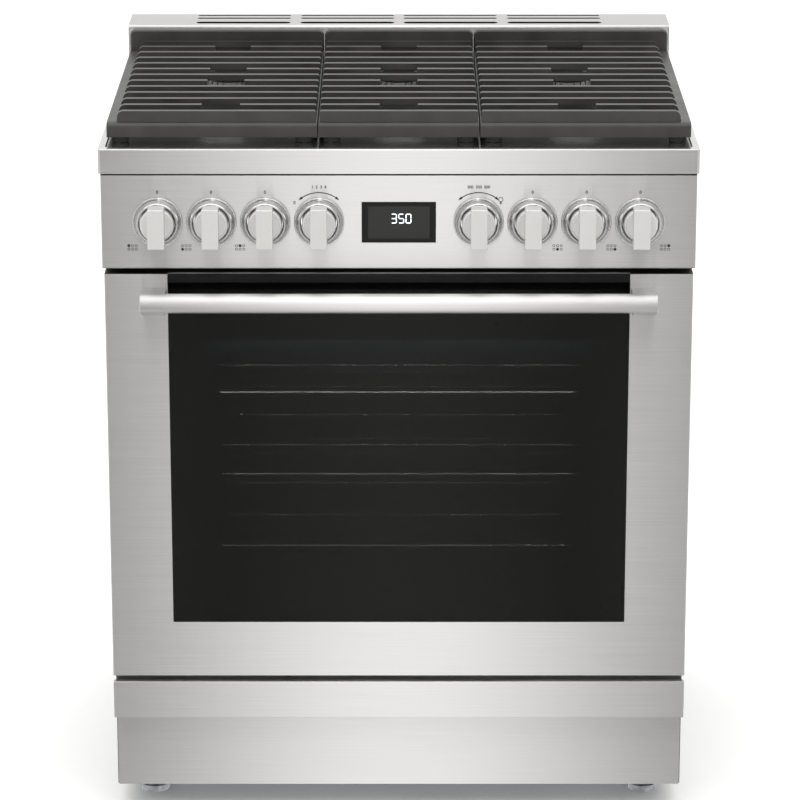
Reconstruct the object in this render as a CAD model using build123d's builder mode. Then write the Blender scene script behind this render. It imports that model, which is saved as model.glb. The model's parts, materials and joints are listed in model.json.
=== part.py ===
"""Freestanding 30-inch gas range: body, cooktop, controls, door, racks and gas train.

Millimetres. +Z is up, the door faces -Y, the origin is on the floor at the middle of
the outline. Depths named `d` are measured back from the front face of the door.
"""
import os
from math import cos, radians, sin

from build123d import *

os.makedirs("parts", exist_ok=True)

# ---- driving dimensions -------------------------------------------------------------
front_y = -290                     # front face of door, control panel and cooktop
sheet = 1.5                        # folded sheet metal
body_half = 375                    # half width of the body shell
body_front_d = 46                  # where the body shell starts, behind the door
body_rear_d = 641.5
rear_d = 647                       # rearmost edge, on the vent trim
base_z = 36                        # underside of the body
panel_top_z = 880
deck_z = 914                       # cooktop rim, the counter height
deck_half = 380
deck_bottom_z = 882
well_depth = 3
well_rim = 9
trim_d = 562                       # front face of the vent trim
trim_half = 378
trim_top_z = 962

door_half = 375
door_bottom_z = 206.5
door_top_z = 751.5
door_skin_depth = 37
door_depth = 42
glass_half = 294.5
glass_bottom_z = 281
hinge_d = 22
hinge_z = door_bottom_z + 16
hinge_x = 336                      # middle of each hinge arm
arm_half_thickness = 3
hinge_pin_r = 4

handle_r = 12.25
handle_half = 326.5
handle_d = -54.75
handle_z = 727.6
post_width = 31

control_half = 377.25
control_bottom_z = 758.6
knob_z = 820
burner_knob_xs = (-305.6, -237.4, -169.2, 169.2, 237.4, 305.6)
oven_knob_xs = (-101, 101)
stem_r = 4
running_gap = 0.05
display_size = (94, 53)
display_z = 819.3

cavity_half = 304
cavity_bottom_z = 246
cavity_top_z = 688
cavity_rear_d = 530
rack_levels = {"lower": 361, "middle": 460, "upper": 572}
rack_half = 292
rack_front_d = 70
rack_rear_d = 478
rack_rod_r = 4
guide_rod_r = 3
guide_x = 296
fan_z = 467

burner_xs = (-228, 0, 228)
burner_ds = (167.5, 391)

grate_half = 371.7
grate_split = 103
grate_gap = 1.5
grate_front_d = 50
grate_rear_d = 519
rail_bottom_z = deck_z + 4
rail_top_z = deck_z + 23
bar_top_z = deck_z + 37
bar_bottom_z = deck_z + 19
riser_top_z = deck_z + 52
rail_width = 12
bar_width = 9
bar_pitch = 37.2
bar_count = 13
first_bar_d = 59.5                 # middle of the front bar
broken_bars = (1, 5, 7, 11)        # counted from the front, open above the burners
arched_bars = (2, 6, 8, 12)        # thin above the burners, behind the broken ones
arch_depth = 8
finger_tip = 7
finger_taper = 26
outer_end_round = 6
inner_end_round = 2.5
outer_bar_inset = 13.5
inner_bar_inset = 1.5
open_half = 24.5

inlet_x = 300
inlet_z = 150
inlet_r = 10.67                    # half-inch taper pipe thread, outside radius
gas_pipe_r = 8
manifold_d = 62
manifold_z = 790


def at(d):
    """Y of a depth measured back from the door's front face."""
    return front_y + d


def block(xs, ds, zs, mode=Mode.ADD):
    """A box between two X values, two depths and two heights."""
    middle = ((xs[0] + xs[1]) / 2, at((ds[0] + ds[1]) / 2), (zs[0] + zs[1]) / 2)
    with Locations(middle):
        Box(xs[1] - xs[0], ds[1] - ds[0], zs[1] - zs[0], mode=mode)


def rod_x(x0, x1, d, z, r, mode=Mode.ADD):
    """A round rod along X."""
    with Locations(Location(((x0 + x1) / 2, at(d), z), (0, 90, 0))):
        Cylinder(r, x1 - x0, mode=mode)


def rod_y(x, d0, d1, z, r, mode=Mode.ADD):
    """A round rod along the depth."""
    with Locations(Location((x, at((d0 + d1) / 2), z), (90, 0, 0))):
        Cylinder(r, d1 - d0, mode=mode)


def rod_z(x, d, z0, z1, r, mode=Mode.ADD):
    """A round rod standing up."""
    with Locations((x, at(d), (z0 + z1) / 2)):
        Cylinder(r, z1 - z0, mode=mode)


def keep(builder, name):
    """Label a finished sub-part and write it as its own STEP file."""
    builder.part.label = name
    export_step(builder.part, f"parts/{name}.step")


# ---- body shell ---------------------------------------------------------------------
flange = 20
for side, name in ((-1, "side_panel_left"), (1, "side_panel_right")):
    outer, inner = side * body_half, side * (body_half - flange)
    with BuildPart() as side_panel:
        block(sorted((inner, outer)), (body_front_d, 640), (base_z, panel_top_z))
        hollow = sorted((inner - side, outer - side * sheet))
        block(hollow, (body_front_d + sheet, 640 - sheet), (base_z - 1, panel_top_z + 1),
              mode=Mode.SUBTRACT)
    keep(side_panel, name)

louvre_count = 9
with BuildPart() as rear_panel:
    block((-body_half, body_half), (640, body_rear_d), (base_z, panel_top_z))
    for column_x in (-215, 0, 215):
        for row in range(louvre_count):
            louvre_z = 640 + row * 22
            block((column_x - 75, column_x + 75), (630, 650), (louvre_z, louvre_z + 7),
                  mode=Mode.SUBTRACT)
    rod_y(inlet_x, 630, 650, inlet_z, 24, mode=Mode.SUBTRACT)
    rod_y(-inlet_x, 630, 650, inlet_z, 11.3, mode=Mode.SUBTRACT)
keep(rear_panel, "rear_panel")

leg_spots = [(x, d) for x in (-330, 330) for d in (120, 590)]
stud_r = 5
with BuildPart() as base_pan:
    block((-354, 354), (48, 637), (base_z, base_z + 20))
    block((-354 + sheet, 354 - sheet), (48 + sheet, 637 - sheet), (base_z + sheet, base_z + 21),
          mode=Mode.SUBTRACT)
    for x, d in leg_spots:
        rod_z(x, d, base_z - 5, base_z + 5, stud_r + 0.3, mode=Mode.SUBTRACT)
keep(base_pan, "base_pan")

with BuildPart() as levelling_legs:
    for x, d in leg_spots:
        rod_z(x, d, 10, 74, stud_r)
        rod_z(x, d, 0, 8, 19)
        with Locations((x, at(d), 11)):
            Cone(19, 9, 6)
        with BuildSketch(Plane.XY.offset(base_z - 10)):
            with Locations((x, at(d))):
                RegularPolygon(9, 6)
        extrude(amount=8)
keep(levelling_legs, "levelling_legs")

frame_d = (44.5, body_front_d)
with BuildPart() as front_frame:
    block((-374, 374), frame_d, (201, 757))
    block((-cavity_half, cavity_half), (40, 50), (cavity_bottom_z, cavity_top_z),
          mode=Mode.SUBTRACT)
    for side in (-1, 1):
        arm = sorted((side * (hinge_x - 6), side * (hinge_x + 6)))
        block(arm, (40, 50), (hinge_z - 11, hinge_z + 11), mode=Mode.SUBTRACT)
keep(front_frame, "front_frame")

with BuildPart() as kick_panel:
    block((-373.6, 373.6), (43.5, 45.5), (35.4, 190))
    block((-373.6, 373.6), (43.5, 60), (35.4, 35.4 + 0.4))
keep(kick_panel, "kick_panel")

with BuildPart() as lower_trim:
    block((-374.75, 374.75), (0, 43), (147.5, 198))
    block((-374.75 + sheet, 374.75 - sheet), (sheet, 44), (147.5 + sheet, 199),
          mode=Mode.SUBTRACT)
    block((-380, 380), (8, 44), (188, 199), mode=Mode.SUBTRACT)
    block((-374.75, 374.75), (0, 8), (198 - sheet, 198))
    front_edges = lower_trim.edges().filter_by(Axis.X).group_by(Axis.Y)[0]
    fillet(front_edges, 0.8)
keep(lower_trim, "lower_trim")

# ---- oven cavity --------------------------------------------------------------------
with BuildPart() as oven_cavity:
    block((-cavity_half - sheet, cavity_half + sheet), (body_front_d, cavity_rear_d + sheet),
          (cavity_bottom_z - sheet, cavity_top_z + sheet))
    block((-cavity_half, cavity_half), (40, cavity_rear_d), (cavity_bottom_z, cavity_top_z),
          mode=Mode.SUBTRACT)
    rod_y(0, cavity_rear_d - 1, cavity_rear_d + 5, fan_z, 7, mode=Mode.SUBTRACT)
    rod_y(-230, cavity_rear_d - 1, cavity_rear_d + 5, 620, 16.5, mode=Mode.SUBTRACT)
keep(oven_cavity, "oven_cavity")

blanket = 30
with BuildPart() as insulation:
    inner_half = cavity_half + sheet + 0.5
    block((-inner_half - blanket, inner_half + blanket), (48, cavity_rear_d + 2 + blanket),
          (cavity_bottom_z - 2, cavity_top_z + 2 + blanket))
    block((-inner_half, inner_half), (40, cavity_rear_d + 2),
          (cavity_bottom_z - 3, cavity_top_z + 2), mode=Mode.SUBTRACT)
    rod_y(0, cavity_rear_d, 600, fan_z, 45, mode=Mode.SUBTRACT)
    rod_y(-230, cavity_rear_d, 600, 620, 24, mode=Mode.SUBTRACT)
keep(insulation, "insulation")

guide_levels = [z - rack_rod_r - guide_rod_r - 0.3 for z in rack_levels.values()]
with BuildPart() as rack_guides:
    for side in (-1, 1):
        for d in (85, 465):
            rod_z(side * 300.5, d, 300, 620, 2.7)
        for z in guide_levels:
            rod_y(side * guide_x, 62, 484, z, guide_rod_r)
            rod_y(side * (guide_x + 1), 62, 484, z + 19, 2.4)
        for d in (62, 484):
            for z in guide_levels:
                rod_z(side * (guide_x + 4), d, z - 1, z + 20, 2.4)
keep(rack_guides, "rack_guides")

wire_count = 17
rack_z = rack_levels["middle"]
with BuildPart() as rack:
    for side in (-1, 1):
        rod_y(side * rack_half, rack_front_d, rack_rear_d, rack_z, rack_rod_r)
    for d in (rack_front_d, rack_rear_d):
        rod_x(-rack_half, rack_half, d, rack_z, rack_rod_r)
        for side in (-1, 1):
            with Locations((side * rack_half, at(d), rack_z)):
                Sphere(rack_rod_r)
    for d in (205, 345):
        rod_x(-rack_half, rack_half, d, rack_z - 1, 3)
    spacing = 2 * rack_half / (wire_count + 1)
    for index in range(wire_count):
        wire_x = -rack_half + spacing * (index + 1)
        rod_y(wire_x, rack_front_d, rack_rear_d, rack_z + 1.2, 2.5)
    rod_x(-130, 130, rack_rear_d, rack_z + 22, 3)
    for side in (-1, 1):
        rod_z(side * 130, rack_rear_d, rack_z, rack_z + 22, 3)
        with Locations((side * 130, at(rack_rear_d), rack_z + 22)):
            Sphere(3)
for level, z in rack_levels.items():
    rack_copy = rack.part.moved(Location((0, 0, z - rack_z)))
    rack_copy.label = f"rack_{level}"
    export_step(rack_copy, f"parts/rack_{level}.step")

with BuildPart() as fan_cover:
    block((-150, 150), (492, 529.5), (fan_z - 130, fan_z + 130))
    block((-150 + sheet, 150 - sheet), (492 + sheet, 530), (fan_z - 130 + sheet, fan_z + 130 - sheet),
          mode=Mode.SUBTRACT)
    for ring_r, holes in ((30, 8), (52, 14), (74, 20)):
        for index in range(holes):
            turn = radians(360 * index / holes)
            rod_y(ring_r * cos(turn), 485, 500, fan_z + ring_r * sin(turn), 7,
                  mode=Mode.SUBTRACT)
keep(fan_cover, "fan_cover")

blade_count = 8
with BuildPart() as convection_fan:
    rod_y(0, 502, 505, fan_z, 78)
    rod_y(0, 502, 560, fan_z, 4)
    rod_y(0, 505, 515, fan_z, 12)
    for index in range(blade_count):
        turn = 360 * index / blade_count
        with Locations(Location((0, at(511), fan_z), (0, turn, 0))):
            with Locations((52, 0, 0)):
                Box(48, 14, 2)
keep(convection_fan, "convection_fan")

with BuildPart() as fan_motor:
    rod_y(0, 548, 598, fan_z, 34)
    rod_y(0, 534, 548, fan_z, 14)
    rod_y(0, 530, 561, fan_z, 4 + running_gap, mode=Mode.SUBTRACT)
keep(fan_motor, "fan_motor")

with BuildPart() as oven_lamp:
    rod_y(-230, 514, 560, 620, 15.5)
    with Locations((-230, at(514), 620)):
        Sphere(15.5)
keep(oven_lamp, "oven_lamp")

with BuildPart() as oven_burners:
    block((-150, 150), (130, 430), (664, 680))
    block((-138, 138), (142, 418), (660, 668), mode=Mode.SUBTRACT)
    for x in (-100, -50, 0, 50, 100):
        block((x - 3, x + 3), (140, 420), (664, 668))
    block((-12, 12), (430, 529.5), (668, 680))
    for side in (-1, 1):
        rod_y(side * 150, 120, 452, 222, 9)
    rod_x(-165, 165, 440, 222, 7)
    rod_y(0, 440, 560, 222, 5)
keep(oven_burners, "oven_burners")

# ---- door ---------------------------------------------------------------------------
notch = [sorted((side * (hinge_x - 10), side * (hinge_x + 10))) for side in (-1, 1)]
with BuildPart() as door_skin:
    block((-door_half, door_half), (0, door_skin_depth), (door_bottom_z, door_top_z))
    block((-door_half + 2, door_half - 2), (2, door_skin_depth + 1),
          (door_bottom_z + 2, door_top_z - 2), mode=Mode.SUBTRACT)
    block((-glass_half, glass_half), (-1, 3), (glass_bottom_z, door_top_z + 1), mode=Mode.SUBTRACT)
    block((-glass_half, glass_half), (-1, 6.5), (door_top_z - 3, door_top_z + 1),
          mode=Mode.SUBTRACT)
    for xs in notch:
        block(xs, (10, door_depth), (door_bottom_z - 1, door_bottom_z + 3), mode=Mode.SUBTRACT)
    rim = door_skin.edges().filter_by(Axis.Z).group_by(Axis.Y)[0]
    fillet([edge for edge in rim if abs(edge.center().X) > door_half - 1], 1.5)
keep(door_skin, "door_skin")

with BuildPart() as door_glass:
    block((-glass_half + 0.4, glass_half - 0.4), (0.1, 5.6), (glass_bottom_z + 0.4, door_top_z - 0.1))
    top_front = door_glass.edges().filter_by(Axis.X).group_by(Axis.Z)[-1].sort_by(Axis.Y)[0]
    chamfer(top_front, 3)
keep(door_glass, "door_outer_glass")

window_half = 231.5
window_z = (330, 640)
with BuildPart() as door_liner:
    block((-365, 365), (door_skin_depth + 0.5, door_depth), (216.5, 741))
    block((-window_half, window_half), (30, 50), window_z, mode=Mode.SUBTRACT)
    for xs in notch:
        block(xs, (30, 50), (200, hinge_z + 22), mode=Mode.SUBTRACT)
keep(door_liner, "door_liner")

with BuildPart() as door_inner_glass:
    block((-window_half - 15, window_half + 15), (32, 37), (window_z[0] - 15, window_z[1] + 15))
keep(door_inner_glass, "door_inner_glass")

gasket_out, gasket_in = 332, 318
with BuildPart() as door_gasket:
    block((-gasket_out, gasket_out), (door_depth + 0.05, 44.2), (252, 716))
    block((-gasket_in, gasket_in), (40, 46), (266, 702), mode=Mode.SUBTRACT)
keep(door_gasket, "door_gasket")

with BuildPart() as handle_bar:
    rod_x(-handle_half, handle_half, handle_d, handle_z, handle_r)
    chamfer(handle_bar.edges().filter_by(GeomType.CIRCLE), 1.5)
keep(handle_bar, "handle_bar")

with BuildPart() as handle_posts:
    for side in (-1, 1):
        inner_x = side * (handle_half - post_width)
        start = min(inner_x, inner_x + side * post_width)
        with BuildSketch(Plane.YZ.offset(start)):
            with BuildLine():
                Polyline((at(0), 703), (at(0), 733), (at(-30), 733), (at(-50), 728),
                         (at(-50), 718), (at(-40), 708), (at(0), 703))
            make_face()
        extrude(amount=post_width)
    rod_x(-400, 400, handle_d, handle_z, handle_r + running_gap, mode=Mode.SUBTRACT)
keep(handle_posts, "handle_posts")

with BuildPart() as hinge_pins:
    for side in (-1, 1):
        rod_x(*sorted((side * (hinge_x - 14), side * (hinge_x + 14))), hinge_d, hinge_z, hinge_pin_r)
        for cheek in (hinge_x - 14, hinge_x + 10):
            xs = sorted((side * cheek, side * (cheek + 4)))
            block(xs, (12, 36.5), (door_bottom_z + 2.3, hinge_z + 26))
keep(hinge_pins, "door_hinge_pins")

arm_r = 8.5
with BuildPart() as hinge_arms:
    for side in (-1, 1):
        start = side * hinge_x - arm_half_thickness
        with BuildSketch(Plane.YZ.offset(start)):
            with Locations((at(hinge_d), hinge_z)):
                Circle(arm_r)
            with Locations((at((hinge_d + 150) / 2), hinge_z)):
                Rectangle(150 - hinge_d, 2 * arm_r)
        extrude(amount=2 * arm_half_thickness)
    rod_x(-400, 400, hinge_d, hinge_z, hinge_pin_r + running_gap, mode=Mode.SUBTRACT)
keep(hinge_arms, "hinge_arms")

# ---- control panel ------------------------------------------------------------------
with BuildPart() as control_panel:
    block((-control_half, control_half), (0, 44), (control_bottom_z, panel_top_z))
    block((-control_half + sheet, control_half - sheet), (sheet, 45),
          (control_bottom_z + sheet, panel_top_z - sheet), mode=Mode.SUBTRACT)
    for x in burner_knob_xs + oven_knob_xs:
        rod_y(x, -1, 3, knob_z, 7, mode=Mode.SUBTRACT)
    block((-display_size[0] / 2, display_size[0] / 2), (-1, 3),
          (display_z - display_size[1] / 2, display_z + display_size[1] / 2), mode=Mode.SUBTRACT)
    lower_front = control_panel.edges().filter_by(Axis.X).group_by(Axis.Z)[0].sort_by(Axis.Y)[0]
    chamfer(lower_front, 1.4)
    uprights = control_panel.edges().filter_by(Axis.Z).group_by(Axis.Y)[0]
    fillet([edge for edge in uprights if abs(edge.center().X) > control_half - 1], 1.2)
keep(control_panel, "control_panel")

with BuildPart() as display_lens:
    block((-display_size[0] / 2 + 0.4, display_size[0] / 2 - 0.4), (-0.6, 4),
          (display_z - display_size[1] / 2 + 0.4, display_z + display_size[1] / 2 - 0.4))
    fillet(display_lens.edges().filter_by(Axis.Y), 2)
keep(display_lens, "display_lens")

with BuildPart() as display_board:
    block((-62, 62), (12, 13.6), (display_z - 36, display_z + 36))
    block((-36, 36), (4.5, 12), (display_z - 17, display_z + 17))
keep(display_board, "display_board")

bezel_r, bezel_shoulder_r, bezel_top_r, bezel_bore_r, bezel_height = 32, 29.5, 25.5, 22.9, 14
with BuildPart() as knob_bezels:
    for x in burner_knob_xs + oven_knob_xs:
        with BuildSketch(Plane.YZ.offset(x)):
            with BuildLine():
                Polyline((at(-0.05), knob_z + 8), (at(-0.05), knob_z + bezel_r),
                         (at(-4), knob_z + bezel_r), (at(-4.6), knob_z + bezel_shoulder_r),
                         (at(-11), knob_z + bezel_top_r + 2), (at(-bezel_height), knob_z + bezel_top_r),
                         (at(-bezel_height), knob_z + bezel_bore_r + 1), (at(-13), knob_z + bezel_bore_r),
                         (at(-2), knob_z + bezel_bore_r), (at(-2), knob_z + 8),
                         (at(-0.05), knob_z + 8))
            make_face()
        revolve(axis=Axis((x, 0, knob_z), (0, 1, 0)))
keep(knob_bezels, "knob_bezels")

skirt_r, shoulder_r, face_r, blade_width, blade_height = 21.6, 20, 18.6, 21, 51
knob_back_d, knob_face_d, blade_d = -6, -24, -44
names = ["left_rear", "left_front", "centre_rear", "centre_front", "right_front", "right_rear"]
knob_names = [f"knob_{name}_burner" for name in names] + ["knob_oven_mode", "knob_oven_temperature"]
for x, name in zip(burner_knob_xs + oven_knob_xs, knob_names):
    with BuildPart() as knob:
        with BuildSketch(Plane.YZ.offset(x)):
            with BuildLine():
                Polyline((at(knob_back_d), knob_z), (at(knob_back_d), knob_z + skirt_r),
                         (at(-20.5), knob_z + skirt_r - 0.5), (at(-22.5), knob_z + shoulder_r),
                         (at(knob_face_d), knob_z + face_r), (at(knob_face_d), knob_z),
                         (at(knob_back_d), knob_z))
            make_face()
        revolve(axis=Axis((x, 0, knob_z), (0, 1, 0)))
        with BuildSketch(Plane.XZ.offset(-at(-18))):
            with Locations((x, knob_z)):
                RectangleRounded(blade_width, blade_height, 4)
        extrude(amount=-18 - blade_d)
        nose = knob.faces().sort_by(Axis.Y)[0]
        fillet(nose.edges(), 1.2)
        rod_y(x, -19, -5, knob_z, stem_r + running_gap, mode=Mode.SUBTRACT)
    keep(knob, name)

for x, name in zip(burner_knob_xs, names):
    with BuildPart() as stem:
        rod_y(x, -15, 50, knob_z, stem_r)
        rod_y(x, 20, 23, knob_z, 7.5)
    keep(stem, f"stem_{name}")

with BuildPart() as oven_controls:
    for x in oven_knob_xs:
        rod_y(x, -18.5, 35, knob_z, stem_r)
        block((x - 19, x + 19), (30.2, 58), (knob_z - 19, knob_z + 19))
keep(oven_controls, "oven_controls")

with BuildPart() as burner_valves:
    for x in burner_knob_xs:
        block((x - 12, x + 12), (27, 78), (801, knob_z + 14))
        rod_y(x, 20, 55, knob_z, stem_r + running_gap, mode=Mode.SUBTRACT)
        rod_y(x, 78, 92, knob_z, 4)
keep(burner_valves, "burner_valves")

pipe_x, pipe_rear_d, pipe_bend = 356, 604, 30
with BuildPart() as gas_manifold:
    rod_x(-330, 345, manifold_d, manifold_z, 10)
    block((340, 364), (manifold_d - 12, manifold_d + 12), (manifold_z - 12, manifold_z + 12))
    route = [(pipe_x, at(manifold_d + 11), manifold_z), (pipe_x, at(pipe_rear_d), manifold_z),
             (pipe_x, at(pipe_rear_d), inlet_z), (inlet_x + 19.2, at(pipe_rear_d), inlet_z)]
    with BuildLine() as pipe_line:
        FilletPolyline(*route, radius=pipe_bend)
    with BuildSketch(Plane(origin=route[0], z_dir=(0, 1, 0))):
        Circle(gas_pipe_r)
    sweep()
keep(gas_manifold, "gas_manifold")

with BuildPart() as gas_regulator:
    block((inlet_x - 20, inlet_x + 19), (585, 622), (inlet_z - 20, inlet_z + 20))
    rod_z(inlet_x, 603, inlet_z + 20, inlet_z + 34, 15)
    with BuildSketch(Plane.XZ.offset(-at(622))):
        with Locations((inlet_x, inlet_z)):
            RegularPolygon(16, 6)
    extrude(amount=-6)
    rod_y(inlet_x, 622, 646, inlet_z, inlet_r)
    rod_y(inlet_x, 600, 650, inlet_z, 7.5, mode=Mode.SUBTRACT)
keep(gas_regulator, "gas_regulator")

with BuildPart() as cord_gland:
    rod_y(-inlet_x, 632, 645.5, inlet_z, 11)
    rod_y(-inlet_x, 641.8, 645.5, inlet_z, 15)
    rod_y(-inlet_x, 636, 639.7, inlet_z, 15)
    rod_y(-inlet_x, 630, 650, inlet_z, 5, mode=Mode.SUBTRACT)
keep(cord_gland, "cord_gland")

# ---- cooktop ------------------------------------------------------------------------
with BuildPart() as cooktop:
    block((-deck_half, deck_half), (0, trim_d - 0.5), (deck_bottom_z, deck_z))
    fillet(cooktop.edges().filter_by(Axis.Z).group_by(Axis.Y)[0], 4)
    fillet(cooktop.faces().sort_by(Axis.Z)[-1].edges().sort_by(Axis.Y)[:-1], 2)
    block((-deck_half + 2, deck_half - 2), (2, trim_d - 2.5), (deck_bottom_z - 1, deck_z - 6),
          mode=Mode.SUBTRACT)
    with BuildSketch(Plane.XY.offset(deck_z)):
        with Locations((0, at(trim_d / 2))):
            RectangleRounded(2 * (deck_half - well_rim), trim_d - 2 * well_rim, 8)
    extrude(amount=-well_depth, mode=Mode.SUBTRACT)
    for x in burner_xs:
        for d in burner_ds:
            rod_z(x, d, deck_z - 20, deck_z, 22, mode=Mode.SUBTRACT)
keep(cooktop, "cooktop")

well_z = deck_z - well_depth
with BuildPart() as burner_bases:
    for x in burner_xs:
        for d in burner_ds:
            rod_z(x, d, well_z + 0.05, well_z + 2.5, 46)
            rod_z(x, d, well_z - 30, well_z + 1, 20)
            rod_z(x, d, well_z - 40, well_z + 3, 12, mode=Mode.SUBTRACT)
keep(burner_bases, "burner_bases")

port_count = 24
with BuildPart() as burner_heads:
    for x in burner_xs:
        for d in burner_ds:
            rod_z(x, d, well_z + 2.6, well_z + 11.9, 34)
            rod_z(x, d, well_z + 2, well_z + 9, 20, mode=Mode.SUBTRACT)
            with Locations((x, at(d), well_z + 9.9)):
                with PolarLocations(34, port_count):
                    Box(8, 2, 4.1, mode=Mode.SUBTRACT)
keep(burner_heads, "burner_heads")

with BuildPart() as burner_caps:
    for x in burner_xs:
        for d in burner_ds:
            with BuildSketch(Plane.XZ.offset(-at(d))):
                with BuildLine():
                    Polyline((x, well_z + 12), (x + 31.5, well_z + 12), (x + 31.5, well_z + 15),
                             (x + 29, well_z + 17.5), (x, well_z + 18), (x, well_z + 12))
                make_face()
            revolve(axis=Axis((x, at(d), 0), (0, 0, 1)))
keep(burner_caps, "burner_caps")

with BuildPart() as igniters:
    for x in burner_xs:
        for d in burner_ds:
            rod_z(x, d + 39.5, well_z + 2.6, well_z + 12, 3)
            rod_z(x, d + 39.5, well_z + 12, well_z + 15, 1)
keep(igniters, "spark_igniters")

# ---- grates -------------------------------------------------------------------------
bar_ds = [first_bar_d + bar_pitch * index for index in range(bar_count)]


def bar_profile(x0, x1, rounds, opens, arch_x):
    """Side view of one cross bar; an open end tapers up to a finger tip."""
    points = []
    if opens == "left":
        points += [(x0 + finger_taper, bar_bottom_z), (x0, bar_top_z - finger_tip), (x0, bar_top_z)]
    else:
        points += [(x0, bar_bottom_z), (x0, bar_top_z - rounds[0]),
                   (x0 + rounds[0] / 3, bar_top_z - rounds[0] / 3), (x0 + rounds[0], bar_top_z)]
    if opens == "right":
        points += [(x1, bar_top_z), (x1, bar_top_z - finger_tip), (x1 - finger_taper, bar_bottom_z)]
    else:
        points += [(x1 - rounds[1], bar_top_z), (x1 - rounds[1] / 3, bar_top_z - rounds[1] / 3),
                   (x1, bar_top_z - rounds[1]), (x1, bar_bottom_z)]
    if arch_x is not None:
        arch_z = bar_top_z - arch_depth
        points += [(arch_x + open_half + finger_taper, bar_bottom_z), (arch_x + open_half, arch_z),
                   (arch_x - open_half, arch_z), (arch_x - open_half - finger_taper, bar_bottom_z)]
    return points + points[:1]


def add_bar(x0, x1, d, rounds, opens=None, arch_x=None):
    """One cross bar between two X values, its middle at depth d."""
    with BuildSketch(Plane.XZ.offset(-at(d + bar_width / 2))) as side_view:
        with BuildLine():
            Polyline(*bar_profile(x0, x1, rounds, opens, arch_x))
        make_face()
    extrude(side_view.sketch, amount=bar_width)


sections = {
    "left": (-grate_half, -grate_split - grate_gap / 2, burner_xs[0]),
    "centre": (-grate_split + grate_gap / 2, grate_split - grate_gap / 2, burner_xs[1]),
    "right": (grate_split + grate_gap / 2, grate_half, burner_xs[2]),
}
for section, (low_x, high_x, middle_x) in sections.items():
    outer_low, outer_high = section == "left", section == "right"
    bar_low = low_x + (outer_bar_inset if outer_low else inner_bar_inset)
    bar_high = high_x - (outer_bar_inset if outer_high else inner_bar_inset)
    rounds = (outer_end_round if outer_low else inner_end_round,
              outer_end_round if outer_high else inner_end_round)
    with BuildPart() as grate:
        block((low_x, high_x), (grate_front_d, grate_front_d + rail_width),
              (rail_bottom_z, rail_top_z))
        block((low_x, high_x), (grate_rear_d - rail_width, grate_rear_d),
              (rail_bottom_z, riser_top_z))
        block((low_x, low_x + rail_width), (grate_front_d, grate_rear_d),
              (rail_bottom_z, rail_top_z))
        block((high_x - rail_width, high_x), (grate_front_d, grate_rear_d),
              (rail_bottom_z, rail_top_z))
        riser_ends = grate.edges().filter_by(Axis.Y).group_by(Axis.Z)[-1]
        fillet(riser_ends, 8)
        riser_front = grate.faces().sort_by(Axis.Z)[-1].edges().sort_by(Axis.Y)[0]
        chamfer(riser_front, 2)
        for index, d in enumerate(bar_ds):
            if index in broken_bars:
                add_bar(bar_low, middle_x - open_half, d, rounds, opens="right")
                add_bar(middle_x + open_half, bar_high, d, rounds, opens="left")
            else:
                add_bar(bar_low, bar_high, d, rounds,
                        arch_x=middle_x if index in arched_bars else None)
        for x in (low_x + 16, high_x - 16):
            for d in (grate_front_d + 6, grate_rear_d - 6):
                rod_z(x, d, well_z + 0.05, rail_bottom_z + 1, 5.5)
    keep(grate, f"grate_{section}")

# ---- rear vent trim -----------------------------------------------------------------
slot_length = 131.5
slot_xs = (-217.8, -72.35, 72.35, 217.8)
slot_rows = ((rear_d - 14, 7), (rear_d - 34, 8), (rear_d - 66, 13))
with BuildPart() as vent_trim:
    block((-trim_half, trim_half), (trim_d, rear_d), (deck_bottom_z, trim_top_z))
    long_edges = vent_trim.edges().filter_by(Axis.X).group_by(Axis.Z)[-1]
    fillet(long_edges, 4)
    block((-trim_half + sheet, trim_half - sheet), (trim_d + sheet, rear_d - sheet),
          (deck_bottom_z - 1, trim_top_z - sheet), mode=Mode.SUBTRACT)
    for x in slot_xs:
        for d, width in slot_rows:
            with BuildSketch(Plane.XY.offset(trim_top_z)):
                with Locations((x, at(d))):
                    SlotOverall(slot_length, width)
            extrude(amount=-5, mode=Mode.SUBTRACT)
keep(vent_trim, "rear_vent_trim")
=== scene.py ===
# %% [markdown]
# A freestanding gas range is folded stainless sheet, cast iron and black glass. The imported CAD
# model is the skeleton: it says where everything is. This lesson gives each piece the small
# radii, printed marks and surface finish that a flat CAD body does not have.

# %% Load the frame
import json
from math import cos, pi, radians, sin

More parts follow.
